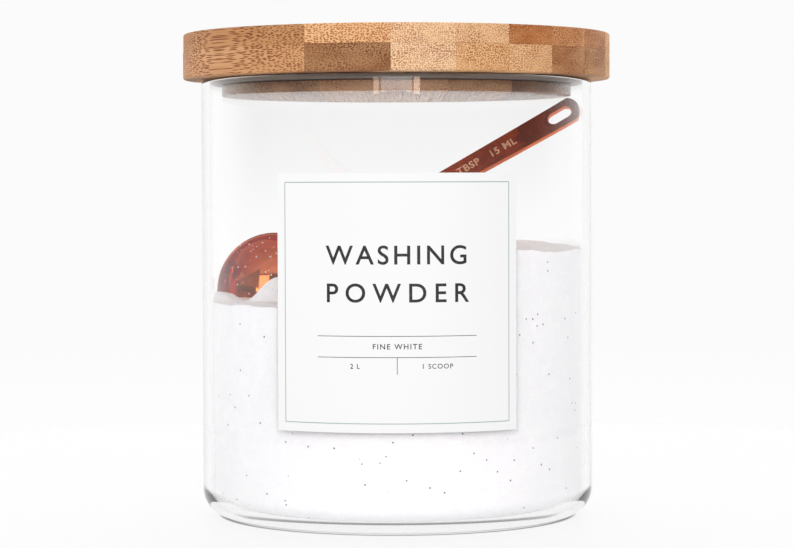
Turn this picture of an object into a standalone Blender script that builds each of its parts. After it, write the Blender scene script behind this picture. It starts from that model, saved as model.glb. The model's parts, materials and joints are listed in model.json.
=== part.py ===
"""A round glass canister of washing powder, with a laminated bamboo lid and a copper measuring scoop.

Metres, +Z up. The origin is the centre of the jar's base, and the label faces -Y.
"""

from math import asin, cos, pi, radians, sin, sqrt

import bmesh
import bpy
from mathutils import Matrix, Vector

MM = 0.001
GAP = 0.3 * MM  # left between pieces that touch

# Glass jar
JAR_RADIUS = 75.0 * MM
JAR_WALL = 3.1 * MM
JAR_FLOOR = 4.0 * MM
JAR_HEEL = 10.0 * MM
JAR_INNER_HEEL = 7.0 * MM
JAR_BORE = JAR_RADIUS - JAR_WALL
JAR_SEGMENTS = 80

# Bamboo lid: two plies of strips, and a plug that drops into the jar
LID_RADIUS = 81.9 * MM
LID_UNDERSIDE = 167.1 * MM
LID_TOP = 184.2 * MM
TOP_PLY = 7.1 * MM
LID_EDGE_ROUND = 0.8 * MM
LID_CHAMFER = 0.7 * MM
LID_SEGMENTS = 120
PLUG_RADIUS = 67.3 * MM
PLUG_BOTTOM = 160.5 * MM
PLUG_NECK_RADIUS = 64.0 * MM
# The plies' strips lie at an angle to the label, and the plug's run from front to back
STRIP_WIDTH = 20.0 * MM
FIRST_GLUE_LINE = -72.0 * MM
PLY_TURN = radians(38.0)
PLUG_STRIP_WIDTH = 23.0 * MM
FIRST_PLUG_GLUE_LINE = -50.5 * MM

# Silicone seal round the plug's neck
SEAL_BOTTOM = 164.9 * MM
SEAL_TOP = LID_UNDERSIDE - GAP
SEAL_LIP = 0.5 * MM

# Paper label, bent round the front of the jar
LABEL_HALF_ANGLE = 0.6135
LABEL_BOTTOM = 37.8 * MM
LABEL_TOP = 131.0 * MM
LABEL_THICKNESS = 0.2 * MM
LABEL_COLUMNS = 24

# Scoop: the rim lies in a plane that leans back, and the handle leaves it along that plane
SCOOP_CENTRE = Vector((-50.7, 0.0, 89.7)) * MM
HANDLE_SLOPE = radians(28.7)
SCOOP_LEAN = radians(58.0)
BOWL_RADIUS = 21.1 * MM
BOWL_DEPTH = 18.0 * MM
BOWL_WALL = 0.9 * MM
BOWL_SEGMENTS = 40
HANDLE_TIP = 138.2 * MM  # from the bowl's centre
HANDLE_END_BULGE = 3.0 * MM
HANDLE_ROOT_WIDTH = 7.2 * MM
HANDLE_TIP_WIDTH = 10.7 * MM
HANDLE_THICKNESS = 2.2 * MM
SLOT_CENTRE = 130.4 * MM
SLOT_LENGTH = 9.9 * MM
SLOT_WIDTH = 4.7 * MM

# Washing powder: low on the left, banked up on the right
POWDER_RADIUS = JAR_BORE - GAP
POWDER_LOW = 84.0 * MM
POWDER_HIGH = 104.0 * MM
BANK_START = -38.0 * MM
BANK_END = 36.0 * MM
HEAP_CENTRE = (-43.0 * MM, -7.0 * MM)
HEAP_RADIUS = 15.0 * MM
HEAP_RISE = 6.0 * MM
POWDER_SECTORS = 48
POWDER_RINGS = 12
LIFT_SWEEP = 60.0 * MM  # how far the scoop's clearance is swept up through the powder


def clear_scene():
    for obj in list(bpy.data.objects):
        bpy.data.objects.remove(obj, do_unlink=True)


def principled(name, color, roughness, metallic=0.0, transmission=0.0):
    material = bpy.data.materials.new(name)
    material.use_nodes = True
    shader = material.node_tree.nodes["Principled BSDF"]
    shader.inputs["Base Color"].default_value = (*color, 1.0)
    shader.inputs["Roughness"].default_value = roughness
    shader.inputs["Metallic"].default_value = metallic
    shader.inputs["Transmission Weight"].default_value = transmission
    material.diffuse_color = (*color, 1.0 - 0.7 * transmission)
    return material


def add_object(name, mesh, material=None):
    obj = bpy.data.objects.new(name, mesh)
    bpy.context.scene.collection.objects.link(obj)
    if material:
        mesh.materials.append(material)
    return obj


def mesh_from(name, bm):
    bmesh.ops.recalc_face_normals(bm, faces=bm.faces)
    mesh = bpy.data.meshes.new(name)
    bm.to_mesh(mesh)
    bm.free()
    return mesh


def smooth(mesh, angle=radians(35)):
    mesh.shade_smooth()
    mesh.set_sharp_from_angle(angle=angle)


def arc(centre_x, centre_z, radius, start, end, steps):
    """Points on an arc, with angles in degrees from +X towards +Z."""
    angles = [radians(start + (end - start) * i / steps) for i in range(steps + 1)]
    return [(centre_x + radius * cos(a), centre_z + radius * sin(a)) for a in angles]


def turned(name, profile, segments, material, closed=False):
    """Turns a profile of (radius, height) points about Z. It runs down its outer side."""
    count = len(profile)
    edges = [(i, (i + 1) % count) for i in range(count if closed else count - 1)]
    mesh = bpy.data.meshes.new(name)
    mesh.from_pydata([(r, 0.0, z) for r, z in profile], edges, [])
    obj = add_object(name, mesh, material)
    screw = obj.modifiers.new("Turn", "SCREW")
    screw.axis = "Z"
    screw.angle = 2 * pi
    screw.steps = segments
    screw.render_steps = segments
    screw.use_merge_vertices = True
    screw.merge_threshold = 0.00001
    screw.use_smooth_shade = True
    return obj


def helper(obj):
    """Keeps a cutter out of the finished model."""
    obj.hide_render = True
    obj.display_type = "WIRE"
    return obj


def cut(obj, cutter, operation="DIFFERENCE"):
    boolean = obj.modifiers.new(f"{operation} {cutter.name}", "BOOLEAN")
    boolean.operation = operation
    boolean.solver = "EXACT"
    boolean.object = cutter


def box_helper(name, low, high):
    bm = bmesh.new()
    bmesh.ops.create_cube(bm, size=1.0)
    size = [h - l for l, h in zip(low, high)]
    middle = [(l + h) / 2 for l, h in zip(low, high)]
    bmesh.ops.scale(bm, vec=size, verts=bm.verts)
    bmesh.ops.translate(bm, vec=middle, verts=bm.verts)
    return helper(add_object(name, mesh_from(name, bm)))


def make_jar(material):
    rim = JAR_WALL / 2
    rim_z = LID_UNDERSIDE - GAP - rim
    inner_x = JAR_BORE - JAR_INNER_HEEL
    inner_z = JAR_FLOOR + JAR_INNER_HEEL
    profile = [(0.0, JAR_FLOOR)]
    profile += arc(inner_x, inner_z, JAR_INNER_HEEL, -90, 0, 5)
    profile += arc(JAR_RADIUS - rim, rim_z, rim, 180, 0, 8)
    profile += arc(JAR_RADIUS - JAR_HEEL, JAR_HEEL, JAR_HEEL, 0, -90, 7)
    profile.append((0.0, 0.0))
    turned("glass_jar", profile, JAR_SEGMENTS, material)


def top_ply_profile():
    low = LID_TOP - TOP_PLY + GAP / 2
    edge = arc(LID_RADIUS - LID_EDGE_ROUND, LID_TOP - LID_EDGE_ROUND, LID_EDGE_ROUND, 90, 0, 3)
    return [(0.0, LID_TOP), *edge, (LID_RADIUS, low), (0.0, low)]


def lower_ply_profile():
    high = LID_TOP - TOP_PLY - GAP / 2
    chamfer = [
        (LID_RADIUS, LID_UNDERSIDE + LID_CHAMFER),
        (LID_RADIUS - LID_CHAMFER, LID_UNDERSIDE),
    ]
    return [(0.0, high), (LID_RADIUS, high), *chamfer, (0.0, LID_UNDERSIDE)]


def plug_profile():
    high = LID_UNDERSIDE - GAP
    shoulder = SEAL_BOTTOM - GAP
    edge = arc(PLUG_RADIUS - LID_CHAMFER, PLUG_BOTTOM + LID_CHAMFER, LID_CHAMFER, 0, -90, 3)
    return [
        (0.0, high),
        (PLUG_NECK_RADIUS, high),
        (PLUG_NECK_RADIUS, shoulder),
        (PLUG_RADIUS, shoulder),
        *edge,
        (0.0, PLUG_BOTTOM),
    ]


def make_strips(name, profile, first_line, width, turn, material):
    """A round ply made of straight strips side by side, each cut from the same turned shape."""
    edges = [-LID_RADIUS - GAP]
    line = first_line
    while line < profile[1][0]:
        edges.append(line)
        line += width
    edges.append(LID_RADIUS + GAP)
    for number, (left, right) in enumerate(zip(edges, edges[1:]), start=1):
        strip = turned(f"{name}_{number}", profile, LID_SEGMENTS, material)
        low = (left + GAP / 2, -LID_RADIUS - GAP, PLUG_BOTTOM - GAP)
        high = (right - GAP / 2, LID_RADIUS + GAP, LID_TOP + GAP)
        saw = box_helper(f"{name}_{number}_saw", low, high)
        strip.rotation_euler.z = turn
        saw.rotation_euler.z = turn
        cut(strip, saw, "INTERSECT")


def make_seal(material):
    """A flat silicone ring with two soft lips that press on the jar's bore."""
    inner = PLUG_NECK_RADIUS + GAP
    outer = JAR_BORE - GAP
    middle = (SEAL_TOP + SEAL_BOTTOM) / 2
    upper = arc(outer - SEAL_LIP, SEAL_TOP - SEAL_LIP / 2, SEAL_LIP / 2, 90, -90, 4)
    lower = arc(outer - SEAL_LIP, SEAL_BOTTOM + SEAL_LIP / 2, SEAL_LIP / 2, 90, -90, 4)
    groove = [(outer - 3 * SEAL_LIP, middle)]
    profile = [(inner, SEAL_TOP), *upper, *groove, *lower, (inner, SEAL_BOTTOM)]
    turned("lid_seal", profile, JAR_SEGMENTS, material, closed=True)


def make_label(material):
    bm = bmesh.new()
    inner = JAR_RADIUS + GAP
    columns = []
    for i in range(LABEL_COLUMNS + 1):
        angle = -pi / 2 + LABEL_HALF_ANGLE * (2 * i / LABEL_COLUMNS - 1)
        corners = [
            (inner, LABEL_BOTTOM),
            (inner + LABEL_THICKNESS, LABEL_BOTTOM),
            (inner + LABEL_THICKNESS, LABEL_TOP),
            (inner, LABEL_TOP),
        ]
        columns.append([bm.verts.new((r * cos(angle), r * sin(angle), z)) for r, z in corners])
    for left, right in zip(columns, columns[1:]):
        for i in range(4):
            j = (i + 1) % 4
            bm.faces.new((left[i], left[j], right[j], right[i]))
    bm.faces.new(columns[0])
    bm.faces.new(columns[-1])
    mesh = mesh_from("label", bm)
    smooth(mesh)
    add_object("label", mesh, material)


def powder_height(x, y):
    """Height of the powder: a bank that rises to the right, and a small heap in the scoop's mouth."""
    along = min(max((x - BANK_START) / (BANK_END - BANK_START), 0.0), 1.0)
    bank = along * along * (3 - 2 * along)
    away = sqrt((x - HEAP_CENTRE[0]) ** 2 + (y - HEAP_CENTRE[1]) ** 2) / HEAP_RADIUS
    heap = max(0.0, 1.0 - away * away) ** 2
    return POWDER_LOW + (POWDER_HIGH - POWDER_LOW) * bank + HEAP_RISE * heap


def powder_mesh(name):
    """The powder before the scoop's room is taken out of it: jar-shaped below, banked on top."""
    floor = JAR_FLOOR + GAP
    heel = JAR_INNER_HEEL
    bottom = arc(POWDER_RADIUS - heel, floor + heel, heel, -90, 0, 4)
    radii = [POWDER_RADIUS * (1 - i / POWDER_RINGS) for i in range(POWDER_RINGS)]
    rings = [(r, z) for r, z in bottom] + [(r, None) for r in radii]
    bm = bmesh.new()
    loops = []
    for radius, height in rings:
        loop = []
        for i in range(POWDER_SECTORS):
            angle = 2 * pi * i / POWDER_SECTORS
            x = radius * cos(angle)
            y = radius * sin(angle)
            loop.append(bm.verts.new((x, y, powder_height(x, y) if height is None else height)))
        loops.append(loop)
    base = bm.verts.new((0.0, 0.0, floor))
    top = bm.verts.new((0.0, 0.0, powder_height(0.0, 0.0)))
    for i in range(POWDER_SECTORS):
        j = (i + 1) % POWDER_SECTORS
        bm.faces.new((base, loops[0][j], loops[0][i]))
        bm.faces.new((top, loops[-1][i], loops[-1][j]))
        for lower, upper in zip(loops, loops[1:]):
            bm.faces.new((lower[i], lower[j], upper[j], upper[i]))
    mesh = mesh_from(name, bm)
    smooth(mesh)
    return mesh


def scoop_frame():
    """The scoop's own axes: X along the handle, Y across it, Z out of the bowl's mouth."""
    along = Vector((cos(HANDLE_SLOPE), 0.0, sin(HANDLE_SLOPE)))
    up = Vector((-sin(HANDLE_SLOPE), 0.0, cos(HANDLE_SLOPE)))
    out = up * cos(SCOOP_LEAN) + Vector((0.0, -sin(SCOOP_LEAN), 0.0))
    across = out.cross(along)
    turn = Matrix((along, across, out)).transposed().to_4x4()
    return Matrix.Translation(SCOOP_CENTRE) @ turn


def lifted_bowl(name, radius, depth):
    """The space that a filled bowl of this size passes through as it rises: a convex helper."""
    frame = scoop_frame()
    rise = Vector((0.0, 0.0, LIFT_SWEEP))
    bm = bmesh.new()
    for ring in range(9):
        tilt = (pi / 2) * ring / 8
        for i in range(BOWL_SEGMENTS if ring else 1):
            turn = 2 * pi * i / BOWL_SEGMENTS
            flat = radius * sin(tilt)
            point = frame @ Vector((flat * cos(turn), flat * sin(turn), -depth * cos(tilt)))
            bm.verts.new(point)
            bm.verts.new(point + rise)
    bmesh.ops.convex_hull(bm, input=bm.verts)
    loose = [v for v in bm.verts if not v.link_faces]
    bmesh.ops.delete(bm, geom=loose, context="VERTS")
    return helper(add_object(name, mesh_from(name, bm)))


def make_powder(material):
    powder = add_object("detergent_powder", powder_mesh("detergent_powder"), material)
    cut(powder, lifted_bowl("scoop_room", BOWL_RADIUS + GAP, BOWL_DEPTH + GAP))
    load = add_object("scoop_load", powder_mesh("scoop_load"), material)
    inside = BOWL_WALL + GAP
    cut(load, lifted_bowl("bowl_room", BOWL_RADIUS - inside, BOWL_DEPTH - inside), "INTERSECT")


def bowl_profile(radius, depth, steps):
    """A half ellipse from the bowl's axis, at its bottom, out to the rim."""
    tilts = [(pi / 2) * i / steps for i in range(steps + 1)]
    return [(radius * sin(t), -depth * cos(t)) for t in tilts]


def make_bowl(material, holder):
    inner = bowl_profile(BOWL_RADIUS - BOWL_WALL, BOWL_DEPTH - BOWL_WALL, 9)
    outer = bowl_profile(BOWL_RADIUS, BOWL_DEPTH, 9)
    bowl = turned("scoop_bowl", inner + outer[::-1], BOWL_SEGMENTS, material)
    bowl.parent = holder


def handle_outline():
    """The handle's outline from above: it flares towards a shallow round end."""
    half_tip = HANDLE_TIP_WIDTH / 2
    end_radius = (half_tip**2 + HANDLE_END_BULGE**2) / (2 * HANDLE_END_BULGE)
    spread = asin(half_tip / end_radius) * 180 / pi
    end = arc(HANDLE_TIP - end_radius, 0.0, end_radius, -spread, spread, 8)
    half_root = HANDLE_ROOT_WIDTH / 2
    saddle = BOWL_RADIUS + GAP
    swing = asin(half_root / saddle) * 180 / pi
    return end + arc(0.0, 0.0, saddle, swing, -swing, 4)


def prism(name, outline, low, high, material=None):
    """An outline of (x, y) points made into a solid between two heights."""
    bm = bmesh.new()
    face = bm.faces.new([bm.verts.new((x, y, low)) for x, y in outline])
    raised = bmesh.ops.extrude_face_region(bm, geom=[face])
    verts = [item for item in raised["geom"] if isinstance(item, bmesh.types.BMVert)]
    bmesh.ops.translate(bm, vec=(0.0, 0.0, high - low), verts=verts)
    mesh = mesh_from(name, bm)
    return add_object(name, mesh, material)


def make_handle(material, holder):
    handle = prism("scoop_handle", handle_outline(), -HANDLE_THICKNESS, 0.0, material)
    handle.parent = holder
    round_end = SLOT_WIDTH / 2
    reach = SLOT_LENGTH / 2 - round_end
    slot_outline = arc(SLOT_CENTRE + reach, 0.0, round_end, -90, 90, 8)
    slot_outline += arc(SLOT_CENTRE - reach, 0.0, round_end, 90, 270, 8)
    slot = helper(prism("hanging_slot", slot_outline, -2 * HANDLE_THICKNESS, HANDLE_THICKNESS))
    slot.parent = holder
    cut(handle, slot)


def make_scoop(material):
    holder = bpy.data.objects.new("scoop", None)
    bpy.context.scene.collection.objects.link(holder)
    holder.matrix_world = scoop_frame()
    make_bowl(material, holder)
    make_handle(material, holder)


def main():
    clear_scene()
    glass = principled("glass", (0.93, 0.96, 0.95), 0.02, transmission=1.0)
    bamboo = principled("bamboo", (0.55, 0.33, 0.15), 0.5)
    silicone = principled("silicone", (0.78, 0.77, 0.80), 0.4, transmission=0.4)
    paper = principled("label_paper", (0.92, 0.92, 0.92), 0.6)
    powder = principled("washing_powder", (0.88, 0.89, 0.92), 0.95)
    copper = principled("polished_copper", (0.72, 0.30, 0.18), 0.12, metallic=1.0)
    make_jar(glass)
    make_powder(powder)
    make_label(paper)
    make_scoop(copper)
    plies = {"lid_top_strip": top_ply_profile(), "lid_lower_strip": lower_ply_profile()}
    for name, profile in plies.items():
        make_strips(name, profile, FIRST_GLUE_LINE, STRIP_WIDTH, PLY_TURN, bamboo)
    plug = plug_profile()
    make_strips("plug_strip", plug, FIRST_PLUG_GLUE_LINE, PLUG_STRIP_WIDTH, 0.0, bamboo)
    make_seal(silicone)


main()
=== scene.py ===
"""The looks of the glass canister, round its CAD frame.

Clear glass, a bamboo lid, a silicone seal, a paper label, washing powder and a copper scoop.
"""

import json
from math import acos, asin, cos, pi, radians, sin

import bmesh
import bpy
from mathutils import Matrix, Vector, noise

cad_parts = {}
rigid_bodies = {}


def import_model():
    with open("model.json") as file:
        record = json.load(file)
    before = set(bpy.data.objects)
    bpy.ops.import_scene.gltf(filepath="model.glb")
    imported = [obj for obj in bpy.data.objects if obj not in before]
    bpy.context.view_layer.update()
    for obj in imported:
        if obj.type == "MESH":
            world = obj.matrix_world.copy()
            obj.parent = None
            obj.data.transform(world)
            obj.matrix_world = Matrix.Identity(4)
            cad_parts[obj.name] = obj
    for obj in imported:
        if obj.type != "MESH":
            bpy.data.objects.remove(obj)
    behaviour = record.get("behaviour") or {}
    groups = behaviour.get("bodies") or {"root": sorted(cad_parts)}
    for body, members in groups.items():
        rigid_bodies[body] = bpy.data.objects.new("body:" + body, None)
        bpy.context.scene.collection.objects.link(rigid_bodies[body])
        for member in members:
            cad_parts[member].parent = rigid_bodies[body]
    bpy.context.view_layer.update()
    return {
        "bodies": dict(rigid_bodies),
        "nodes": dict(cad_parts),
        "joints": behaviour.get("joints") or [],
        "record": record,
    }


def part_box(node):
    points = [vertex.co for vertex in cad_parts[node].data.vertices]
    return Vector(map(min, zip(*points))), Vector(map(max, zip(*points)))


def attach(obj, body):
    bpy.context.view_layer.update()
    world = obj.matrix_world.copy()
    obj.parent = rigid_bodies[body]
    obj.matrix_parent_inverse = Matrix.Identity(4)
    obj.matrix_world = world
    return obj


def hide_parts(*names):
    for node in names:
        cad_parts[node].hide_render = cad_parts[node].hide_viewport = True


MM = 0.001

# The jar's glass, as in the CAD
JAR_WALL = 3.1 * MM
JAR_FLOOR = 4.0 * MM
JAR_HEEL = 10.0 * MM
JAR_INNER_HEEL = 7.0 * MM
GAP = 0.3 * MM  # the CAD's gap between pieces that touch

# Finer than in the CAD
JAR_SEGMENTS = 256
FLAT_TO_ROUND = 0.2 * MM  # a narrow band beside each rounding, so that the walls' smooth shading stays flat
CLOSE = 0.03 * MM  # the gap between pieces that touch
GLUE_LINE = 0.05 * MM

# The scoop, as in the CAD
SCOOP_CENTRE = Vector((-50.7, 0.0, 89.7)) * MM
HANDLE_SLOPE = radians(28.7)
SCOOP_LEAN = radians(58.0)
BOWL_RADIUS = 21.1 * MM
BOWL_DEPTH = 18.0 * MM
BOWL_WALL = 0.9 * MM
HANDLE_END_BULGE = 3.0 * MM
HANDLE_ROOT_WIDTH = 7.2 * MM
HANDLE_TIP_WIDTH = 10.7 * MM
HANDLE_THICKNESS = 2.2 * MM
SLOT_CENTRE = 130.4 * MM
SLOT_LENGTH = 9.9 * MM
SLOT_WIDTH = 4.7 * MM

# The handle, unlike the CAD's: 0.5 degrees steeper and 1 mm longer, which is nearer to the photo
SEEN_SLOPE = HANDLE_SLOPE + radians(0.5)
HANDLE_TIP = 139.2 * MM
HANDLE_EASE = 0.32 * MM
MEASURE_PLACE = 96.0 * MM  # the middle of the etched words, from the bowl's centre
MEASURE_LIFT = 0.02 * MM

# The lid's strips, as in the CAD
LID_OVERHANG = 6.9 * MM
STRIP_WIDTH = 20.0 * MM
FIRST_GLUE_LINE = -72.0 * MM
PLY_TURN = radians(38.0)
PLUG_STRIP_WIDTH = 23.0 * MM
FIRST_PLUG_GLUE_LINE = -50.5 * MM
PLUG_NECK_RADIUS = 64.0 * MM
PATTERN_SHIFT = Vector((0.0137, 0.0091, 0.31))  # between the bamboo patterns of two strips

# The seal's lips
SEAL_CLEARANCE = 0.02 * MM
SEAL_LIP_SHARE = 0.36  # a lip's height, as a share of the seal's
SEAL_GROOVE_LIPS = 1.6  # the groove's depth, in lips

# The powder's bed, which lies a little lower than the CAD's and has heaps of its own
POWDER_LOW = 82.3 * MM
POWDER_HIGH = 102.4 * MM
BANK_START = -38.0 * MM
BANK_END = 36.0 * MM
POWDER_SECTORS = 300
POWDER_RINGS = 96
POWDER_SHARP = 50.0
POWDER_CLEARANCE = 0.4 * MM
LIFT_SWEEP = 60.0 * MM  # how far up the room over the bowl reaches
# Heaps on the bed: (x, y, radius, rise)
HEAPS = (
    (-45.5 * MM, -5.0 * MM, 13.0 * MM, 9.0 * MM),
    (-69.0 * MM, 0.0 * MM, 11.0 * MM, 3.5 * MM),
    (52.0 * MM, 42.0 * MM, 40.0 * MM, 1.6 * MM),
    (8.0 * MM, 38.0 * MM, 36.0 * MM, 3.0 * MM),
)

# The label
LABEL_OUTSIDE = 0.5 * MM  # from the glass to the outside of the CAD's label
LABEL_THICKNESS = 0.16 * MM
LABEL_INK = 0.012 * MM
LABEL_FACET = 1.2 * MM  # the width of the facets that take it round the jar
BORDER_INSET = 3.3 * MM
BORDER_LINE = 0.32 * MM
RULE_LINE = 0.22 * MM
RULE_REACH = 29.3 * MM
UPPER_RULE = -12.0 * MM
LOWER_RULE = -19.6 * MM
DIVIDER_FOOT = -25.6 * MM
CAPITAL_SHARE = 0.73  # the height of a capital, as a share of the plain font's size
# Its words: (text, height of a capital, letter spacing, boldness, x and y from the label's middle)
LABEL_WORDS = (
    ("WASHING", 7.0 * MM, 1.25, 0.1 * MM, 0.0, 16.8 * MM),
    ("POWDER", 7.0 * MM, 1.5, 0.1 * MM, 0.0, 3.2 * MM),
    ("FINE WHITE", 2.0 * MM, 1.25, 0.03 * MM, 0.0, -15.7 * MM),
    ("2 L", 1.8 * MM, 1.2, 0.02 * MM, -15.3 * MM, -22.8 * MM),
    ("1 SCOOP", 1.8 * MM, 1.2, 0.02 * MM, 14.5 * MM, -22.8 * MM),
)

# The floor, set just above the jar's base so that no dark gap is mirrored under the glass
FLOOR_RADIUS = 0.44
FLOOR_LIFT = 0.02 * MM
FLOOR_GLOW = 0.83
SHADOW_START = 1.2 * MM  # from the edge of the jar's flat base to the shadow line round it
SHADOW_DEPTH = 0.75

# The window in front of the jar, and the warm blinds beside it: (name, x, width, power)
WINDOW_DISTANCE = 2.5
WINDOW_MIDDLE = 0.965
WINDOW_WIDTH = 0.85
WINDOW_HEIGHT = 1.5
WINDOW_POWER = 11.0
BLINDS = (
    ("right_blind", 0.51, 0.17, 4.6),
    ("left_blind", -0.51, 0.15, 2.9),
)
WHITE_LIGHT = (1.0, 1.0, 1.0)
WARM_LIGHT = (1.0, 0.76, 0.6)
LIGHT_AIM = (0.0, 0.0, 0.10)

# The camera
CAMERA_DISTANCE = 0.9886
CAMERA_HEIGHT = 0.12707
CAMERA_PITCH = radians(2.02)
CAMERA_ROLL = -0.003
CAMERA_LENS = 116.0
SENSOR_WIDTH = 36.0


def set_span(node, low, high, to_low, to_high):
    """Sets a Map Range node to take low..high to to_low..to_high."""
    for name, number in zip(("From Min", "From Max", "To Min", "To Max"), (low, high, to_low, to_high)):
        node.inputs[name].default_value = number


class Shader:
    """Adds nodes to one material and links them."""

    def __init__(self, name):
        self.material = bpy.data.materials.new(name)
        self.material.use_nodes = True
        self.tree = self.material.node_tree
        self.surface = self.tree.nodes["Principled BSDF"]
        self.output = self.tree.nodes["Material Output"]

    def put(self, socket, value):
        if isinstance(value, bpy.types.NodeSocket):
            self.tree.links.new(value, socket)
        else:
            socket.default_value = value

    def set(self, **values):
        for name, value in values.items():
            self.put(self.surface.inputs[name.replace("_", " ")], value)

    def add(self, kind, inputs=(), **settings):
        node = self.tree.nodes.new("ShaderNode" + kind)
        for key, value in settings.items():
            setattr(node, key, value)
        for key, value in dict(inputs).items():
            self.put(node.inputs[key], value)
        return node

    def place(self):
        return self.add("TexCoord").outputs["Object"]

    def stretched(self, vector, scale):
        return self.add("Mapping", {"Vector": vector, "Scale": scale}).outputs["Vector"]

    def attribute(self, name, output):
        return self.add("Attribute", attribute_name=name).outputs[output]

    def noise(self, vector, scale, detail=3.0, roughness=0.5):
        inputs = {"Vector": vector, "Scale": scale, "Detail": detail, "Roughness": roughness}
        return self.add("TexNoise", inputs).outputs["Fac"]

    def cells(self, vector, scale, randomness=1.0):
        inputs = {"Vector": vector, "Scale": scale, "Randomness": randomness}
        return self.add("TexVoronoi", inputs)

    def span(self, value, low, high, to_low=0.0, to_high=1.0):
        """Maps value from low..high to to_low..to_high, smoothly and with its ends held."""
        node = self.add("MapRange", {"Value": value}, interpolation_type="SMOOTHSTEP")
        set_span(node, low, high, to_low, to_high)
        return node.outputs["Result"]

    def math(self, operation, first, second=0.0):
        node = self.add("Math", operation=operation)
        self.put(node.inputs[0], first)
        self.put(node.inputs[1], second)
        return node.outputs["Value"]

    def vector(self, operation, first, second):
        return self.add("VectorMath", {0: first, 1: second}, operation=operation).outputs["Vector"]

    def mix(self, factor, first, second, blend="MIX"):
        node = self.add("Mix", data_type="RGBA", blend_type=blend)
        factors = [s for s in node.inputs if s.name == "Factor" and s.type == "VALUE"]
        colours = [s for s in node.inputs if s.type == "RGBA"]
        for socket, value in zip((factors[0], *colours), (factor, first, second)):
            self.put(socket, value)
        return next(s for s in node.outputs if s.type == "RGBA")

    def bump(self, height, strength, distance):
        inputs = {"Height": height, "Strength": strength, "Distance": distance}
        self.set(Normal=self.add("Bump", inputs).outputs["Normal"])


def rgb(red, green, blue):
    """An sRGB colour of 0 to 255 as the linear colour that a socket takes."""
    linear = [c / 255 / 12.92 if c <= 10 else ((c / 255 + 0.055) / 1.055) ** 2.4 for c in (red, green, blue)]
    return (*linear, 1.0)


def glass_material():
    """Clear glass with faint ripples. Light for what is behind it passes straight through."""
    shader = Shader("clear_glass")
    place = shader.place()
    smudge = shader.noise(place, 38.0, 4.0)
    shader.set(Base_Color=(1.0, 1.0, 1.0, 1.0), IOR=1.47, Transmission_Weight=1.0)
    shader.set(Roughness=shader.span(smudge, 0.5, 0.8, 0.0, 0.012))
    ripple = shader.noise(shader.stretched(place, (1.0, 1.0, 0.25)), 45.0, 1.0)
    shader.bump(ripple, 0.03, 0.4 * MM)
    clear = shader.add("BsdfTransparent", {"Color": (0.99, 0.99, 0.99, 1.0)}).outputs[0]
    mixed = shader.add("MixShader", {0: shader.add("LightPath").outputs["Is Shadow Ray"]})
    shader.put(mixed.inputs[1], shader.surface.outputs[0])
    shader.put(mixed.inputs[2], clear)
    shader.put(shader.output.inputs["Surface"], mixed.outputs[0])
    return shader.material


def bamboo_material(name, roughness, specular):
    """Bamboo. Its grain attribute holds a place across the fibres in X and Y, and along them in Z."""
    shader = Shader(name)
    tone = shader.attribute("tone", "Color")
    grain = shader.attribute("grain", "Vector")
    sway = shader.add("TexNoise", {"Vector": shader.stretched(grain, (70.0, 70.0, 22.0)), "Scale": 1.0})
    around_zero = shader.vector("SUBTRACT", sway.outputs["Color"], (0.5, 0.5, 0.5))
    moved = shader.add("VectorMath", {0: around_zero, "Scale": 1.6 * MM}, operation="SCALE")
    place = shader.vector("ADD", grain, moved.outputs["Vector"])
    bundles = shader.add(
        "TexVoronoi",
        {"Vector": place, "Scale": 1450.0, "Randomness": 0.75},
        voronoi_dimensions="2D",
    ).outputs["Distance"]
    size = shader.noise(shader.stretched(place, (150.0, 190.0, 4.0)), 1.0, 2.0)
    reach = shader.span(size, 0.3, 0.7, 0.2, 0.37)
    dots = shader.span(shader.math("SUBTRACT", bundles, reach), -0.14, 0.12, 1.0, 0.0)
    streaks = shader.noise(shader.stretched(place, (1500.0, 1500.0, 16.0)), 1.0, 4.0, 0.65)
    broad = shader.noise(shader.stretched(place, (60.0, 140.0, 6.0)), 1.0, 3.0)
    pale = shader.mix(0.15, tone, rgb(255, 216, 158))
    dark = shader.mix(1.0, tone, rgb(160, 112, 72), "MULTIPLY")
    wood = shader.mix(shader.span(broad, 0.35, 0.68), pale, tone)
    wood = shader.mix(shader.span(streaks, 0.45, 0.8, 0.0, 0.55), wood, dark)
    wood = shader.mix(shader.math("MULTIPLY", dots, 0.85), wood, dark)
    shader.set(Base_Color=wood, Specular_IOR_Level=specular)
    shader.set(Roughness=shader.span(streaks, 0.2, 0.8, roughness, roughness + 0.12))
    relief = shader.math("SUBTRACT", shader.math("MULTIPLY", streaks, 0.5), dots)
    shader.bump(relief, 0.3, 0.1 * MM)
    return shader.material


def shaded_silicone_material():
    """Translucent silicone, its grey-brown base colour painted shade from the lid above it."""
    shader = Shader("silicone")
    cloud = shader.noise(shader.place(), 240.0, 4.0)
    # painted shade: the base colour is a dark grey-brown that stands in for the shade under the lid
    shader.set(Base_Color=shader.mix(cloud, rgb(138, 122, 112), rgb(160, 145, 135)), IOR=1.41)
    shader.set(Transmission_Weight=0.55, Specular_IOR_Level=0.3)
    shader.set(Roughness=shader.span(cloud, 0.3, 0.7, 0.3, 0.48))
    shader.bump(cloud, 0.1, 0.1 * MM)
    return shader.material


def paper_material():
    shader = Shader("label_paper")
    fibres = shader.noise(shader.place(), 2600.0, 5.0, 0.7)
    shader.set(Base_Color=shader.mix(fibres, rgb(227, 227, 227), rgb(233, 233, 233)))
    shader.set(Roughness=shader.span(fibres, 0.3, 0.7, 0.5, 0.62), Specular_IOR_Level=0.3)
    shader.bump(fibres, 0.06, 0.04 * MM)
    return shader.material


def ink_material(name, colour):
    """Matt printing ink, a little uneven where the paper shows through."""
    shader = Shader(name)
    wear = shader.noise(shader.place(), 1900.0, 4.0)
    thin = shader.mix(0.25, colour, rgb(150, 150, 150))
    shader.set(Base_Color=shader.mix(shader.span(wear, 0.5, 0.75), colour, thin))
    shader.set(Roughness=shader.span(wear, 0.3, 0.7, 0.45, 0.6))
    return shader.material


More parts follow.
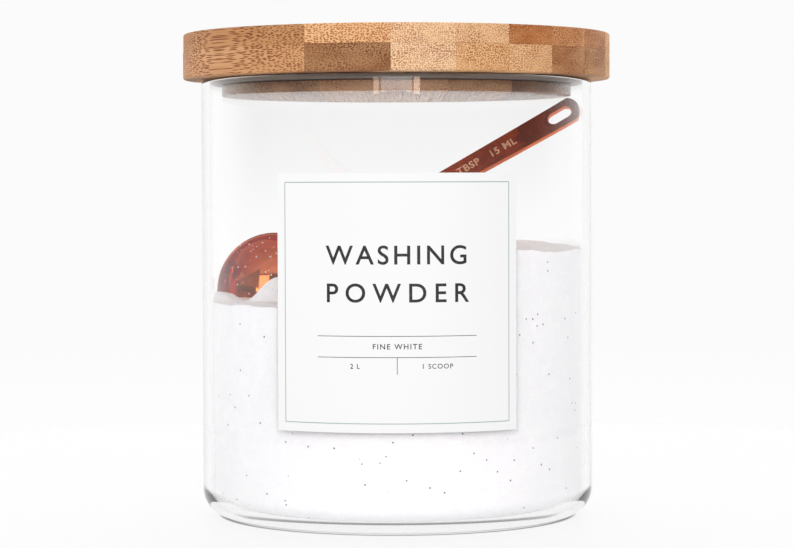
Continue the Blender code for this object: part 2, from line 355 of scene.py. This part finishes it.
def powder_material():
    """White granules with a few blue and grey specks."""
    shader = Shader("washing_powder")
    place = shader.place()
    grains = shader.cells(place, 1500.0)
    clumps = shader.noise(place, 260.0, 4.0, 0.6)
    white = shader.mix(shader.span(clumps, 0.35, 0.7), rgb(249, 249, 253), rgb(254, 254, 255))
    # painted shade: the powder is mixed towards a bluish grey in the hollows between its grains
    shaded_hollows = shader.span(grains.outputs["Distance"], 0.3, 0.75, 0.0, 0.3)
    white = shader.mix(shaded_hollows, white, rgb(238, 240, 247))
    specks = shader.cells(place, 225.0)
    speck = shader.span(specks.outputs["Distance"], 0.06, 0.09, 1.0, 0.0)
    blue = shader.mix(specks.outputs["Color"], rgb(48, 62, 118), rgb(92, 98, 112))
    shader.set(Base_Color=shader.mix(speck, white, blue), Specular_IOR_Level=0.2)
    shader.set(Roughness=shader.span(clumps, 0.3, 0.7, 0.8, 0.95))
    shader.bump(shader.math("ADD", grains.outputs["Distance"], clumps), 0.3, 0.2 * MM)
    return shader.material


def copper_material(dusty):
    """Polished copper plating with fine handling marks, and grains of powder where it is dusty."""
    shader = Shader("dusty_copper" if dusty else "polished_copper")
    place = shader.place()
    haze = shader.noise(place, 120.0, 5.0, 0.6)
    fine = shader.noise(shader.stretched(place, (1.0, 1.0, 0.35)), 2300.0, 3.0)
    copper = shader.mix(haze, (0.66, 0.13, 0.04, 1.0), (0.78, 0.22, 0.08, 1.0))
    rough = shader.span(haze, 0.3, 0.7, 0.05, 0.12)
    if dusty:
        dust = shader.cells(place, 520.0)
        grain = shader.span(dust.outputs["Distance"], 0.15, 0.21, 1.0, 0.0)
        chosen = shader.span(shader.noise(place, 90.0, 2.0), 0.42, 0.5)
        grain = shader.math("MULTIPLY", grain, chosen)
        copper = shader.mix(grain, copper, rgb(250, 246, 244))
        shader.set(Metallic=shader.math("SUBTRACT", 1.0, grain))
        rough = shader.math("MAXIMUM", rough, shader.math("MULTIPLY", grain, 0.9))
    else:
        shader.set(Metallic=1.0)
    shader.set(Base_Color=copper, Roughness=rough)
    shader.bump(fine, 0.05, 0.05 * MM)
    return shader.material


def etched_material():
    """Bright matt copper, where the scoop's measure is etched."""
    shader = Shader("etched_copper")
    pits = shader.noise(shader.place(), 3000.0, 4.0)
    shader.set(Base_Color=shader.mix(pits, rgb(246, 190, 150), rgb(255, 222, 190)), Metallic=0.6)
    shader.set(Roughness=shader.span(pits, 0.3, 0.7, 0.45, 0.65))
    return shader.material


def floor_material(radius, foot):
    """A pale board that glows, with a rim that fades out and a fine shadow painted round the foot."""
    shader = Shader("pale_board")
    place = shader.place()
    mottle = shader.noise(place, 14.0, 4.0)
    shader.set(Base_Color=shader.mix(mottle, rgb(78, 78, 78), rgb(82, 82, 82)), Roughness=0.7)
    distance = shader.add("VectorMath", {0: place}, operation="LENGTH").outputs["Value"]
    inner = shader.span(distance, foot, foot + 1.0 * MM)
    outer = shader.span(distance, foot + 1.6 * MM, foot + 3.4 * MM, SHADOW_DEPTH, 0.0)
    shade = shader.math("MULTIPLY", inner, outer)
    glow = shader.math("MULTIPLY", shader.math("SUBTRACT", 1.0, shade), FLOOR_GLOW)
    shader.set(Specular_IOR_Level=0.25, Emission_Color=(1.0, 1.0, 1.0, 1.0), Emission_Strength=glow)
    fade = shader.span(distance, radius * 0.8, radius * 0.99)
    clear = shader.add("BsdfTransparent").outputs[0]
    mixed = shader.add("MixShader", {0: fade})
    shader.put(mixed.inputs[1], shader.surface.outputs[0])
    shader.put(mixed.inputs[2], clear)
    shader.put(shader.output.inputs["Surface"], mixed.outputs[0])
    return shader.material


def arc(centre_x, centre_y, radius, start, end, steps):
    """Points on an arc, with angles in degrees."""
    angles = [radians(start + (end - start) * i / steps) for i in range(steps + 1)]
    return [(centre_x + radius * cos(a), centre_y + radius * sin(a)) for a in angles]


def mesh_from(name, bm, sharp=35.0):
    bmesh.ops.recalc_face_normals(bm, faces=bm.faces)
    mesh = bpy.data.meshes.new(name)
    bm.to_mesh(mesh)
    bm.free()
    mesh.shade_smooth()
    mesh.set_sharp_from_angle(angle=radians(sharp))
    return mesh


def add_object(name, mesh, material=None):
    obj = bpy.data.objects.new(name, mesh)
    bpy.context.scene.collection.objects.link(obj)
    if material:
        mesh.materials.append(material)
    return obj


def as_piece(obj, body, slot, *nodes):
    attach(obj, body)
    if nodes:
        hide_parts(*nodes)
    return obj


def turned_mesh(name, profile, segments, closed=False, sharp=35.0):
    """A profile of (radius, height) points turned about Z."""
    bm = bmesh.new()
    verts = [bm.verts.new((r, 0.0, z)) for r, z in profile]
    pairs = list(zip(verts, verts[1:] + verts[:1])) if closed else list(zip(verts, verts[1:]))
    edges = [bm.edges.new(pair) for pair in pairs]
    bmesh.ops.spin(bm, geom=verts + edges, axis=(0, 0, 1), cent=(0, 0, 0), angle=2 * pi, steps=segments)
    bmesh.ops.remove_doubles(bm, verts=bm.verts, dist=0.001 * MM)
    return mesh_from(name, bm, sharp)


def baked_mesh(obj, name):
    """The object's mesh with its modifiers applied; the object itself is removed."""
    graph = bpy.context.evaluated_depsgraph_get()
    mesh = bpy.data.meshes.new_from_object(obj.evaluated_get(graph))
    mesh.name = name
    bpy.data.objects.remove(obj)
    return mesh


def cut_mesh(mesh, cutter, operation):
    """mesh with cutter's mesh taken off it, or kept where both are."""
    obj = add_object("work", mesh)
    other = add_object("cutter", cutter)
    boolean = obj.modifiers.new("cut", "BOOLEAN")
    boolean.operation = operation
    boolean.object = other
    bpy.context.view_layer.update()
    made = baked_mesh(obj, mesh.name)
    bpy.data.objects.remove(other)
    return made


def make_jar(material, radius, top):
    """The glass jar, with a fire-polished rim and soft heels."""
    rim = JAR_WALL / 2
    bore = radius - JAR_WALL
    inner_floor = bore - JAR_INNER_HEEL
    profile = [(0.0, JAR_FLOOR), (inner_floor - FLAT_TO_ROUND, JAR_FLOOR)]
    profile += arc(inner_floor, JAR_FLOOR + JAR_INNER_HEEL, JAR_INNER_HEEL, -90, 0, 16)
    profile += [(bore, JAR_FLOOR + JAR_INNER_HEEL + FLAT_TO_ROUND), (bore, top - rim - FLAT_TO_ROUND)]
    profile += arc(radius - rim, top - rim, rim, 180, 0, 20)
    profile += [(radius, top - rim - FLAT_TO_ROUND), (radius, JAR_HEEL + FLAT_TO_ROUND)]
    profile += arc(radius - JAR_HEEL, JAR_HEEL, JAR_HEEL, 0, -90, 22)
    profile += [(radius - JAR_HEEL - FLAT_TO_ROUND, 0.0), (0.0, 0.0)]
    mesh = turned_mesh("jar_of_clear_glass", profile, JAR_SEGMENTS, sharp=60.0)
    jar = add_object("jar_of_clear_glass", mesh, material)
    as_piece(jar, "canister", "glass", "glass_jar")


def bed_height(x, y):
    """Height of the powder's surface, with its bank, heaps and small lumps."""
    along = min(max((x - BANK_START) / (BANK_END - BANK_START), 0.0), 1.0)
    height = POWDER_LOW + (POWDER_HIGH - POWDER_LOW) * along * along * (3 - 2 * along)
    for heap_x, heap_y, radius, rise in HEAPS:
        away = ((x - heap_x) ** 2 + (y - heap_y) ** 2) / radius**2
        height += rise * max(0.0, 1.0 - away) ** 2
    lumps = 0.9 * noise.noise(Vector((x, y, 0.3)) * 85.0)
    lumps += 0.45 * noise.noise(Vector((x, y, 0.7)) * 260.0)
    lumps += 0.16 * noise.noise(Vector((x, y, 0.1)) * 900.0)
    return height + lumps * MM


def bed_mesh(name, radius):
    """The powder before the scoop's room is taken out of it, in rings from its foot to its middle."""
    floor = JAR_FLOOR + CLOSE
    heel = JAR_INNER_HEEL
    rings = arc(radius - heel, floor + heel, heel, -90, 0, 10)
    rings += [(radius, POWDER_LOW * share) for share in (0.3, 0.5, 0.7, 0.85)]
    on_surface = None
    rings += [(radius * (1 - i / POWDER_RINGS), on_surface) for i in range(POWDER_RINGS)]
    bm = bmesh.new()
    loops = []
    for ring_radius, height in rings:
        loop = []
        for i in range(POWDER_SECTORS):
            angle = 2 * pi * i / POWDER_SECTORS
            x = ring_radius * cos(angle)
            y = ring_radius * sin(angle)
            z = bed_height(x, y) if height is on_surface else height
            loop.append(bm.verts.new((x, y, z)))
        loops.append(loop)
    base = bm.verts.new((0.0, 0.0, floor))
    top = bm.verts.new((0.0, 0.0, bed_height(0.0, 0.0)))
    for i in range(POWDER_SECTORS):
        j = (i + 1) % POWDER_SECTORS
        bm.faces.new((base, loops[0][j], loops[0][i]))
        bm.faces.new((top, loops[-1][i], loops[-1][j]))
        for lower, upper in zip(loops, loops[1:]):
            bm.faces.new((lower[i], lower[j], upper[j], upper[i]))
    return mesh_from(name, bm, POWDER_SHARP)


def scoop_frame(slope=HANDLE_SLOPE):
    """The scoop's own axes: X along the handle, Y across it, Z out of the bowl's mouth."""
    along = Vector((cos(slope), 0.0, sin(slope)))
    up = Vector((-sin(slope), 0.0, cos(slope)))
    out = up * cos(SCOOP_LEAN) + Vector((0.0, -sin(SCOOP_LEAN), 0.0))
    across = out.cross(along)
    turn = Matrix((along, across, out)).transposed().to_4x4()
    return Matrix.Translation(SCOOP_CENTRE) @ turn


def lifted_mesh(name, radius, depth, mouth=0.0):
    """A filled bowl's room, or with no depth its mouth's, swept straight up: one convex shape."""
    frame = scoop_frame()
    rise = Vector((0.0, 0.0, LIFT_SWEEP))
    turns = 96
    rings = 16
    bm = bmesh.new()
    for ring in range(rings + 1):
        tilt = (pi / 2) * ring / rings
        for i in range(turns):
            turn = 2 * pi * i / turns
            flat = radius * sin(tilt)
            point = frame @ Vector((flat * cos(turn), flat * sin(turn), mouth - depth * cos(tilt)))
            bm.verts.new(point)
            bm.verts.new(point + rise)
    bmesh.ops.remove_doubles(bm, verts=bm.verts, dist=0.001 * MM)
    bmesh.ops.convex_hull(bm, input=bm.verts)
    loose = [v for v in bm.verts if not v.link_faces]
    bmesh.ops.delete(bm, geom=loose, context="VERTS")
    return mesh_from(name, bm)


def make_powder(material, radius):
    """The bed, with room for the scoop, and the powder in and over the scoop's bowl."""
    room = lifted_mesh("room", BOWL_RADIUS + CLOSE, BOWL_DEPTH + CLOSE)
    bed = cut_mesh(bed_mesh("bed_of_powder", radius), room, "DIFFERENCE")
    bed.set_sharp_from_angle(angle=radians(POWDER_SHARP))
    as_piece(add_object("bed_of_powder", bed, material), "canister", "powder", "detergent_powder")
    inside = BOWL_WALL + CLOSE
    hollow = lifted_mesh("hollow", BOWL_RADIUS - inside, BOWL_DEPTH - inside)
    mouth = lifted_mesh("mouth", BOWL_RADIUS - CLOSE, 0.0, CLOSE)
    held = cut_mesh(hollow, mouth, "UNION")
    load = cut_mesh(bed_mesh("powder_in_scoop", radius), held, "INTERSECT")
    load.set_sharp_from_angle(angle=radians(POWDER_SHARP))
    as_piece(add_object("powder_in_scoop", load, material), "scoop", "powder", "scoop_load")


def half_ellipse(radius, depth, steps):
    tilts = [(pi / 2) * i / steps for i in range(steps + 1)]
    return [(radius * sin(t), -depth * cos(t)) for t in tilts]


def make_bowl(material):
    """The scoop's deep round bowl, with a softly rounded rim."""
    lip = BOWL_WALL / 2
    inner = half_ellipse(BOWL_RADIUS - BOWL_WALL, BOWL_DEPTH - BOWL_WALL, 28)[:-1]
    outer = half_ellipse(BOWL_RADIUS, BOWL_DEPTH, 28)[:-1]
    rim = arc(BOWL_RADIUS - lip, -lip, lip, 180, 0, 8)
    mesh = turned_mesh("round_bowl", inner + rim + outer[::-1], 128, sharp=80.0)
    dent = 0.05 * MM
    for vert in mesh.vertices:
        vert.co += Vector(vert.co).normalized() * (dent * noise.noise(Vector(vert.co) * 90.0))
    mesh.transform(scoop_frame())
    as_piece(add_object("round_bowl", mesh, material), "scoop", "copper", "scoop_bowl")


def handle_outline():
    half_tip = HANDLE_TIP_WIDTH / 2
    end_radius = (half_tip**2 + HANDLE_END_BULGE**2) / (2 * HANDLE_END_BULGE)
    spread = asin(half_tip / end_radius) * 180 / pi
    end = arc(HANDLE_TIP - end_radius, 0.0, end_radius, -spread, spread, 28)
    half_root = HANDLE_ROOT_WIDTH / 2
    saddle = BOWL_RADIUS + CLOSE
    swing = asin(half_root / saddle) * 180 / pi
    return end + arc(0.0, 0.0, saddle, swing, -swing, 12)


def slot_outline():
    round_end = SLOT_WIDTH / 2
    reach = SLOT_LENGTH / 2 - round_end
    outline = arc(SLOT_CENTRE + reach, 0.0, round_end, -90, 90, 20)
    return outline + arc(SLOT_CENTRE - reach, 0.0, round_end, 90, 270, 20)


def prism_mesh(name, outline, low, high):
    bm = bmesh.new()
    face = bm.faces.new([bm.verts.new((x, y, low)) for x, y in outline])
    raised = bmesh.ops.extrude_face_region(bm, geom=[face])
    verts = [item for item in raised["geom"] if isinstance(item, bmesh.types.BMVert)]
    bmesh.ops.translate(bm, vec=(0.0, 0.0, high - low), verts=verts)
    return mesh_from(name, bm)


def make_handle(material):
    """The flat handle with its hanging slot, every edge eased."""
    blank = prism_mesh("flat_handle", handle_outline(), -HANDLE_THICKNESS, 0.0)
    punch = prism_mesh("punch", slot_outline(), -2 * HANDLE_THICKNESS, HANDLE_THICKNESS)
    obj = add_object("work", cut_mesh(blank, punch, "DIFFERENCE"))
    bevel = obj.modifiers.new("eased edges", "BEVEL")
    bevel.width = HANDLE_EASE
    bevel.segments = 3
    bevel.limit_method = "ANGLE"
    bevel.angle_limit = radians(50)
    bpy.context.view_layer.update()
    mesh = baked_mesh(obj, "flat_handle")
    mesh.shade_smooth()
    mesh.set_sharp_from_angle(angle=radians(25))
    mesh.transform(scoop_frame(SEEN_SLOPE))
    as_piece(add_object("flat_handle", mesh, material), "scoop", "copper", "scoop_handle")


def text_mesh(name, words, height, spacing, depth, boldness=0.0):
    """Plain lettering as a flat solid, centred on the origin, with capitals of this height."""
    curve = bpy.data.curves.new(name, "FONT")
    curve.body = words
    curve.align_x = "CENTER"
    curve.align_y = "CENTER"
    curve.size = height / CAPITAL_SHARE
    curve.space_character = spacing
    curve.extrude = depth / 2
    curve.offset = boldness
    curve.resolution_u = 6
    obj = bpy.data.objects.new(name, curve)
    bpy.context.scene.collection.objects.link(obj)
    bpy.context.view_layer.update()
    return baked_mesh(obj, name)


def make_measure(material):
    """The scoop's measure, etched along the handle."""
    words = text_mesh(
        "handle_measure", "1 TBSP   15 ML", height=3.1 * MM, spacing=1.1, depth=0.08 * MM, boldness=0.1 * MM
    )
    words.transform(scoop_frame(SEEN_SLOPE) @ Matrix.Translation((MEASURE_PLACE, 0.0, MEASURE_LIFT)))
    as_piece(add_object("handle_measure", words, material), "scoop", "copper")


def strip_loop(bm, radius, left, right, z, steps):
    """A round ply's outline between two straight cuts, at one height."""
    start = acos(max(-1.0, left / radius))
    end = acos(min(1.0, right / radius))
    angles = [-start + (start - end) * i / steps for i in range(steps + 1)]
    angles += [end + (start - end) * i / steps for i in range(steps + 1)]
    return [bm.verts.new((radius * cos(a), radius * sin(a), z)) for a in angles]


def make_strip(name, node, levels, left, right, turn, material, tone, seed):
    """One bamboo strip of a round ply. levels are its (radius, height) points, bottom to top."""
    bm = bmesh.new()
    steps = 48
    loops = [strip_loop(bm, r, max(left, -r), min(right, r), z, steps) for r, z in levels]
    count = len(loops[0])
    for lower, upper in zip(loops, loops[1:]):
        for i in range(count):
            j = (i + 1) % count
            bm.faces.new((lower[i], lower[j], upper[j], upper[i]))
    bm.faces.new(loops[0][::-1])
    bm.faces.new(loops[-1])
    bmesh.ops.remove_doubles(bm, verts=bm.verts, dist=0.001 * MM)
    mesh = mesh_from(name, bm, 20.0)
    shift = PATTERN_SHIFT * seed
    grain = [c for v in mesh.vertices for c in Vector((v.co.x, v.co.z, v.co.y)) + shift]
    mesh.attributes.new("grain", "FLOAT_VECTOR", "POINT").data.foreach_set("vector", grain)
    tones = list(tone) * len(mesh.vertices)
    mesh.attributes.new("tone", "FLOAT_COLOR", "POINT").data.foreach_set("color", tones)
    mesh.transform(Matrix.Rotation(turn, 4, "Z"))
    as_piece(add_object(name, mesh, material), "lid", "bamboo", node)


def eased_levels(radius, low, high, ease_low, ease_high):
    """The side of a ply, from its lower face to its upper one, with both edges eased."""
    lower = arc(radius - ease_low, low + ease_low, ease_low, -90, 0, 4)
    upper = arc(radius - ease_high, high - ease_high, ease_high, 0, 90, 4)
    return lower + upper


# Tones of the strips, in the order of the nodes' numbers
TOP_TONES = (
    rgb(168, 110, 66), rgb(222, 170, 122), rgb(226, 184, 144), rgb(218, 172, 130), rgb(176, 110, 62),
    rgb(186, 126, 80), rgb(178, 122, 82), rgb(206, 152, 104), rgb(192, 136, 90),
)
LOWER_TONES = (
    rgb(194, 142, 98), rgb(138, 86, 52), rgb(226, 186, 148), rgb(212, 162, 114), rgb(212, 164, 120),
    rgb(160, 106, 66), rgb(164, 114, 76), rgb(200, 150, 106), rgb(186, 136, 96),
)
# The plug's strips are darker than the lid's: partly their own tone, partly painted shade from the lid above
# them. The first, at the left, is greyed as a painted reflection, and the last, at the right, is the darkest
# as painted shade.
PLUG_TONES_AND_PAINTED_SHADE = (
    rgb(134, 104, 84), rgb(128, 86, 58), rgb(162, 116, 82),
    rgb(168, 122, 86), rgb(146, 100, 68), rgb(106, 70, 46),
)


def make_ply(name, node, tones, levels, first_line, width, turn, material):
    """A round ply's strips, side by side with a fine glue line between them."""
    widest = max(radius for radius, _ in levels)
    for number, tone in enumerate(tones, start=1):
        right = first_line + (number - 1) * width - GLUE_LINE / 2
        left = right - width + GLUE_LINE
        if number == 1:
            left = -widest
        if number == len(tones):
            right = widest
        seed = 10 * len(node) + number  # the three plies' node names differ in length
        make_strip(f"{name}_{number}", f"{node}_{number}", levels, left, right, turn, material, tone, seed)


def make_lid(oiled, polished):
    """The lid's two plies of oiled bamboo, and its smoother plug."""
    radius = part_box("glass_jar")[1].x + LID_OVERHANG
    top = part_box("lid_top_strip_4")[1].z
    seam = (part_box("lid_top_strip_4")[0].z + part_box("lid_lower_strip_4")[1].z) / 2
    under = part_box("lid_lower_strip_4")[0].z
    plug_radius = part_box("plug_strip_3")[1].y
    plug_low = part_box("plug_strip_3")[0].z
    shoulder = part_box("lid_seal")[0].z - GAP
    top_levels = eased_levels(radius, seam, top, ease_low=0.12 * MM, ease_high=0.8 * MM)
    lower_levels = eased_levels(radius, under, seam, ease_low=0.7 * MM, ease_high=0.1 * MM)
    plug_levels = eased_levels(plug_radius, plug_low, shoulder, ease_low=0.5 * MM, ease_high=0.2 * MM)
    plug_levels += [(PLUG_NECK_RADIUS, shoulder), (PLUG_NECK_RADIUS, under - CLOSE)]
    plies = (
        ("top_ply", "lid_top_strip", TOP_TONES, top_levels),
        ("lower_ply", "lid_lower_strip", LOWER_TONES, lower_levels),
    )
    for name, node, tones, levels in plies:
        make_ply(name, node, tones, levels, FIRST_GLUE_LINE, STRIP_WIDTH, PLY_TURN, oiled)
    first = FIRST_PLUG_GLUE_LINE
    make_ply("plug", "plug_strip", PLUG_TONES_AND_PAINTED_SHADE, plug_levels, first, PLUG_STRIP_WIDTH, 0.0, polished)


def make_seal(material, bore):
    """The silicone ring: two soft lips with a groove between them."""
    low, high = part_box("lid_seal")
    inner = PLUG_NECK_RADIUS + CLOSE
    outer = bore - SEAL_CLEARANCE
    lip = (high.z - low.z) * SEAL_LIP_SHARE
    middle = (high.z + low.z) / 2
    upper = arc(outer - lip / 2, high.z - lip / 2, lip / 2, 90, -60, 8)
    lower = arc(outer - lip / 2, low.z + lip / 2, lip / 2, 60, -90, 8)
    profile = [(inner, high.z), *upper, (outer - SEAL_GROOVE_LIPS * lip, middle), *lower, (inner, low.z)]
    mesh = turned_mesh("silicone_ring", profile[::-1], JAR_SEGMENTS, closed=True)
    as_piece(add_object("silicone_ring", mesh, material), "lid", "silicone", "lid_seal")


def wrapped(mesh, radius, height):
    """Bends a flat mesh, with X across and Y up, round the front of the jar."""
    bm = bmesh.new()
    bm.from_mesh(mesh)
    reach = max(abs(v.co.x) for v in bm.verts)
    cuts = int(2 * reach / LABEL_FACET)
    for i in range(1, cuts):
        x = -reach + 2 * reach * i / cuts
        geometry = bm.verts[:] + bm.edges[:] + bm.faces[:]
        bmesh.ops.bisect_plane(bm, geom=geometry, plane_co=(x, 0, 0), plane_no=(1, 0, 0))
    for vert in bm.verts:
        angle = vert.co.x / radius
        out = radius + vert.co.z
        vert.co = Vector((out * sin(angle), -out * cos(angle), height + vert.co.y))
    bm.to_mesh(mesh)
    bm.free()
    return mesh


def flat_box(name, left, right, low, high, depth):
    """A thin sheet in the X-Y plane, to be wrapped."""
    bm = bmesh.new()
    bmesh.ops.create_cube(bm, size=1.0)
    bmesh.ops.scale(bm, vec=(right - left, high - low, depth), verts=bm.verts)
    bmesh.ops.translate(bm, vec=((left + right) / 2, (low + high) / 2, 0.0), verts=bm.verts)
    return mesh_from(name, bm)


def joined(name, meshes):
    bm = bmesh.new()
    for mesh in meshes:
        bm.from_mesh(mesh)
    made = bpy.data.meshes.new(name)
    bm.to_mesh(made)
    bm.free()
    return made


def border_lines(wide, high):
    """The label's thin frame, flat, as four strips."""
    half = BORDER_LINE / 2
    return [
        flat_box("line", -wide, wide, high - half, high + half, LABEL_INK),
        flat_box("line", -wide, wide, -high - half, -high + half, LABEL_INK),
        flat_box("line", -wide - half, -wide + half, -high, high, LABEL_INK),
        flat_box("line", wide - half, wide + half, -high, high, LABEL_INK),
    ]


def label_words():
    """The label's rules and its plain generic words, flat."""
    meshes = [
        flat_box("rule", -RULE_REACH, RULE_REACH, UPPER_RULE, UPPER_RULE + RULE_LINE, LABEL_INK),
        flat_box("rule", -RULE_REACH, RULE_REACH, LOWER_RULE, LOWER_RULE + RULE_LINE, LABEL_INK),
        flat_box("rule", -RULE_LINE / 2, RULE_LINE / 2, DIVIDER_FOOT, LOWER_RULE, LABEL_INK),
    ]
    for text, height, spacing, boldness, x, y in LABEL_WORDS:
        mesh = text_mesh("word", text, height, spacing, LABEL_INK, boldness)
        mesh.transform(Matrix.Translation((x, y, 0.0)))
        meshes.append(mesh)
    return meshes


def make_label(paper, line_ink, text_ink, radius):
    """The square paper label with its border and wording, bent round the front of the jar."""
    low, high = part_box("label")
    half = asin(high.x / (radius + LABEL_OUTSIDE)) * radius
    middle = (low.z + high.z) / 2
    tall = (high.z - low.z) / 2
    sheet = flat_box("paper_label", -half, half, -tall, tall, LABEL_THICKNESS)
    wrapped(sheet, radius + CLOSE + LABEL_THICKNESS / 2, middle)
    sheet.shade_smooth()
    sheet.set_sharp_from_angle(angle=radians(35))
    as_piece(add_object("paper_label", sheet, paper), "canister", "label_paper", "label")
    face = radius + CLOSE + LABEL_THICKNESS
    lines = joined("label_border", border_lines(half - BORDER_INSET, tall - BORDER_INSET))
    border = add_object("label_border", wrapped(lines, face, middle), line_ink)
    as_piece(border, "canister", "label_paper")
    words = joined("label_wording", label_words())
    wording = add_object("label_wording", wrapped(words, face, middle), text_ink)
    as_piece(wording, "canister", "label_paper")


def make_floor(foot):
    bm = bmesh.new()
    bmesh.ops.create_circle(bm, cap_ends=True, radius=FLOOR_RADIUS, segments=128)
    floor = add_object("pale_floor", mesh_from("pale_floor", bm), floor_material(FLOOR_RADIUS, foot))
    floor.location.z = FLOOR_LIFT


def window_light(name, x, width, power, colour):
    """A lit rectangle of the window's height, at x on the window's wall."""
    place = Vector((x, -WINDOW_DISTANCE, WINDOW_MIDDLE))
    light = bpy.data.lights.new(name, "AREA")
    light.shape = "RECTANGLE"
    light.size = width
    light.size_y = WINDOW_HEIGHT
    light.energy = power
    light.color = colour
    obj = bpy.data.objects.new(name, light)
    bpy.context.scene.collection.objects.link(obj)
    obj.location = place
    obj.rotation_euler = (Vector(LIGHT_AIM) - place).to_track_quat("-Z", "Y").to_euler()
    obj.visible_camera = False
    return obj


class RoomNodes:
    """The nodes of the white room's light."""

    def __init__(self, world):
        world.use_nodes = True
        self.tree = world.node_tree
        self.background = self.tree.nodes["Background"]
        self.path = self.tree.nodes.new("ShaderNodeLightPath").outputs
        split = self.tree.nodes.new("ShaderNodeSeparateXYZ")
        direction = self.tree.nodes.new("ShaderNodeTexCoord").outputs["Generated"]
        self.tree.links.new(direction, split.inputs[0])
        self.towards = split.outputs

    def span(self, axis, low, high, to_low, to_high):
        node = self.tree.nodes.new("ShaderNodeMapRange")
        node.interpolation_type = "SMOOTHSTEP"
        self.tree.links.new(self.towards[axis], node.inputs["Value"])
        set_span(node, low, high, to_low, to_high)
        return node.outputs["Result"]

    def times(self, first, second):
        node = self.tree.nodes.new("ShaderNodeMath")
        node.operation = "MULTIPLY"
        self.tree.links.new(first, node.inputs[0])
        self.tree.links.new(second, node.inputs[1])
        return node.outputs["Value"]

    def above(self, value, limit):
        node = self.tree.nodes.new("ShaderNodeMath")
        node.operation = "GREATER_THAN"
        node.inputs[1].default_value = limit
        self.tree.links.new(value, node.inputs[0])
        return node.outputs["Value"]

    def choose(self, when, otherwise, chosen):
        node = self.tree.nodes.new("ShaderNodeMix")
        for name, source in (("Factor", when), ("A", otherwise), ("B", chosen)):
            self.tree.links.new(source, node.inputs[name])
        return node.outputs["Result"]


def make_room():
    """A white room whose light depends on the kind of ray that meets it, so it isn't a physical one.

    seen is the backdrop. mirrored is what polished and clear pieces show, and it is dark in front
    above the horizon. matt is for rays that come from a matt surface, and sampled is for the rest.
    """
    world = bpy.data.worlds.new("white_room")
    bpy.context.scene.world = world
    room = RoomNodes(world)
    sampled = room.times(room.span("Y", -0.9, 0.2, 0.95, 1.02), room.span("X", 0.7, 1.0, 1.0, 0.8))
    matt = room.times(room.span("X", 0.75, 1.0, 1.15, 0.6), room.span("Y", 0.0, 0.5, 1.0, 1.8))
    front = room.span("Z", -0.03, 0.035, 0.85, 0.16)
    back = room.span("X", 0.6, 1.0, 1.0, 0.85)
    mirrored = room.choose(room.span("Y", -0.05, 0.65, 0.0, 1.0), front, back)
    seen = room.span("Z", -0.09, -0.05, 0.985, 0.963)
    level = room.choose(room.path["Is Glossy Ray"], sampled, mirrored)
    level = room.choose(room.path["Is Transmission Ray"], level, mirrored)
    level = room.choose(room.above(room.path["Diffuse Depth"], 0.5), level, matt)
    level = room.choose(room.path["Is Camera Ray"], level, seen)
    room.tree.links.new(level, room.background.inputs["Strength"])
    room.background.inputs["Color"].default_value = (1.0, 1.0, 1.0, 1.0)


def make_lights():
    """A window in front, above the jar's shoulder, with a warm blind at each side of it.

    The blinds show in what is polished or clear, and don't light matt surfaces.
    """
    window_light("window", 0.0, WINDOW_WIDTH, WINDOW_POWER, WHITE_LIGHT)
    for name, x, width, power in BLINDS:
        blind = window_light(name, x, width, power, WARM_LIGHT)
        blind.visible_diffuse = False


def make_camera():
    data = bpy.data.cameras.new("camera")
    data.lens = CAMERA_LENS
    data.sensor_width = SENSOR_WIDTH
    camera = bpy.data.objects.new("camera", data)
    bpy.context.scene.collection.objects.link(camera)
    camera.location = (0.0, -CAMERA_DISTANCE, CAMERA_HEIGHT)
    tilt = Matrix.Rotation(pi / 2 - CAMERA_PITCH, 4, "X")
    roll = Matrix.Rotation(CAMERA_ROLL, 4, "Z")
    camera.rotation_euler = (tilt @ roll).to_euler()
    bpy.context.scene.camera = camera


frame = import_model()
make_camera()
jar_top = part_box("glass_jar")[1]
bore = jar_top.x - JAR_WALL
make_jar(glass_material(), jar_top.x, jar_top.z)
make_powder(powder_material(), bore - POWDER_CLEARANCE)
make_bowl(copper_material(dusty=True))
make_handle(copper_material(dusty=False))
make_measure(etched_material())
make_lid(bamboo_material("oiled_bamboo", 0.5, 0.15), bamboo_material("polished_bamboo", 0.2, 0.6))
make_seal(shaded_silicone_material(), bore)
line_ink = ink_material("border_ink", rgb(150, 168, 162))
text_ink = ink_material("text_ink", rgb(28, 28, 30))
make_label(paper_material(), line_ink, text_ink, jar_top.x)
make_floor(jar_top.x - JAR_HEEL + SHADOW_START)
make_room()
make_lights()
bpy.context.scene.view_settings.view_transform = "Standard"
